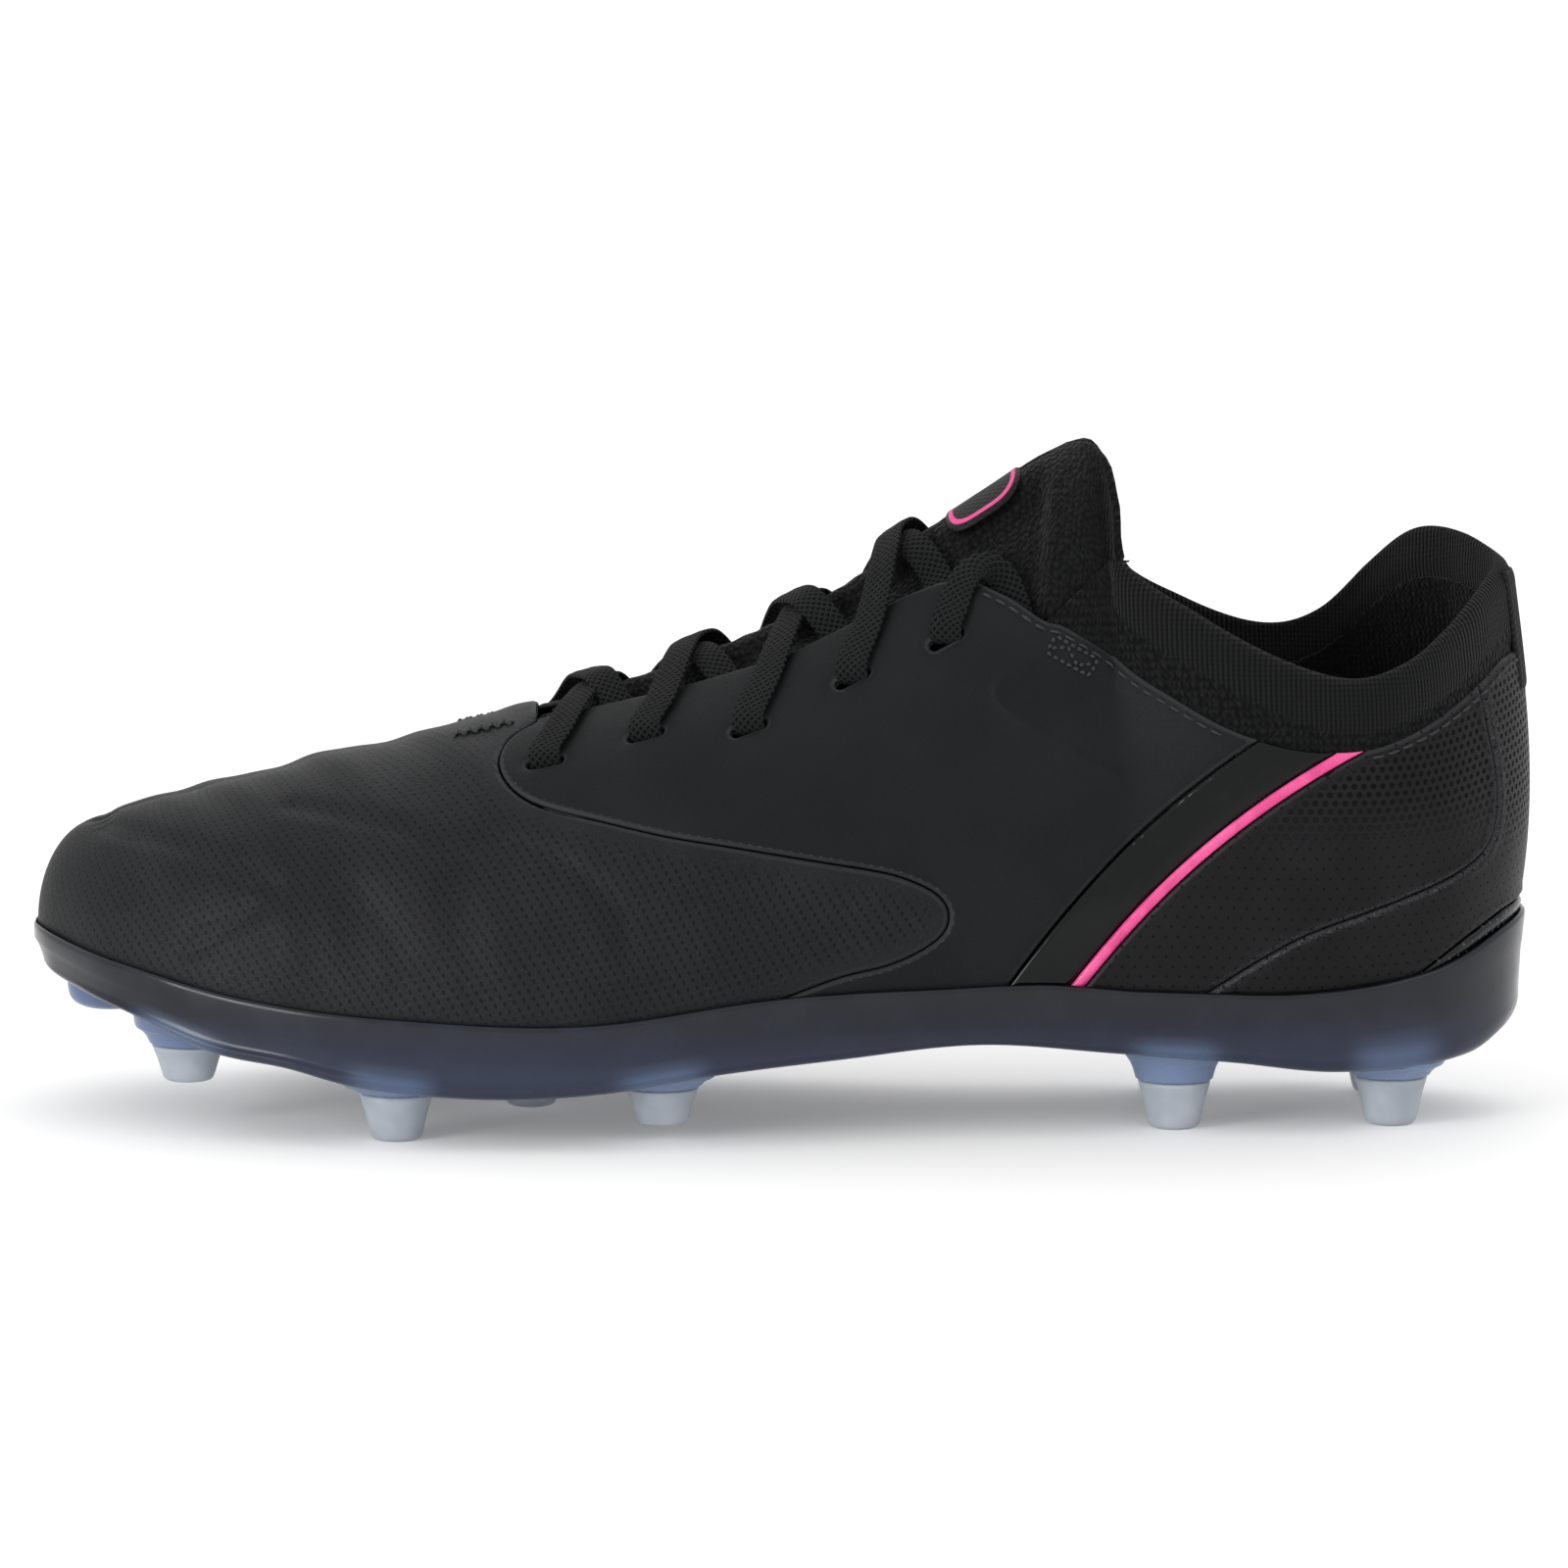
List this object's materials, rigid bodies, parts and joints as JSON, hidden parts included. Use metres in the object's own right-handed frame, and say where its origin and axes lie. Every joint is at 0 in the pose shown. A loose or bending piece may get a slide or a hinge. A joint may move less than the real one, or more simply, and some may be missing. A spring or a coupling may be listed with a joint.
{
  "type": "soccer cleat",
  "caption": "Low-cut firm-ground soccer cleat with a knitted collar, perforated vamp, flat laces and a moulded plate with clear-tipped conical studs",
  "frame": {"origin": "centre of the bounding box in plan, on the ground under the studs", "axes": "toe along -X, heel along +X, lateral side along -Y, medial side along +Y, up +Z"},
  "size_m": [0.2839, 0.0967, 0.1262],
  "materials": {
    "sole": "clear",
    "shank": "gloss",
    "stud_tip": "clear",
    "board": "woven",
    "foam": "open cell",
    "cover": "brushed",
    "vamp": "perforated synthetic",
    "quarter": "smooth synthetic",
    "gloss": "polished",
    "piping": "satin",
    "heel_panel": "perforated synthetic",
    "stiffener": "matt",
    "lining": "tricot",
    "aglet": "satin",
    "clip": "satin",
    "tongue": "knitted",
    "knit": "ribbed knit",
    "label": "rubber print",
    "webbing": "woven",
    "lace": "braided"
  },
  "bodies": {
    "shoe": {"outsole_plate": "sole", "shank_bridge": "shank", "stud_tip_lateral_toe": "stud_tip", "stud_tip_medial_toe": "stud_tip", "stud_tip_lateral_ball": "stud_tip", "stud_tip_medial_ball": "stud_tip", "stud_tip_centre_forefoot": "stud_tip", "stud_tip_lateral_waist": "stud_tip", "stud_tip_medial_waist": "stud_tip", "stud_tip_lateral_heel_front": "stud_tip", "stud_tip_medial_heel_front": "stud_tip", "stud_tip_lateral_heel_rear": "stud_tip", "stud_tip_medial_heel_rear": "stud_tip", "strobel_board": "board", "vamp": "vamp", "quarter_lateral": "quarter", "gloss_band_lateral": "gloss", "piping_lateral": "piping", "heel_panel_lateral": "heel_panel", "eyestay_backer_lateral": "stiffener", "midfoot_lining_lateral": "lining", "ankle_pad_lateral": "foam", "aglet_lateral": "aglet", "quarter_medial": "quarter", "gloss_band_medial": "gloss", "piping_medial": "piping", "heel_panel_medial": "heel_panel", "eyestay_backer_medial": "stiffener", "midfoot_lining_medial": "lining", "ankle_pad_medial": "foam", "aglet_medial": "aglet", "heel_wrap": "heel_panel", "heel_clip": "clip", "toe_puff": "stiffener", "heel_counter": "stiffener", "vamp_lining": "lining", "heel_pad": "foam", "collar_lining": "lining", "tongue_knit": "tongue", "collar_knit": "knit", "tongue_label": "label", "pull_tab": "webbing", "lace": "lace"},
    "sockliner": {"sockliner_foam": "foam", "sockliner_cover": "cover"}
  },
  "joints": [
    {"name": "insole_lift", "type": "hinge", "parent": "shoe", "child": "sockliner", "pos_m": [-0.1359, 0.006, 0.0303], "axis": [0, -1, 0], "range_deg": [0, 8]}
  ]
}
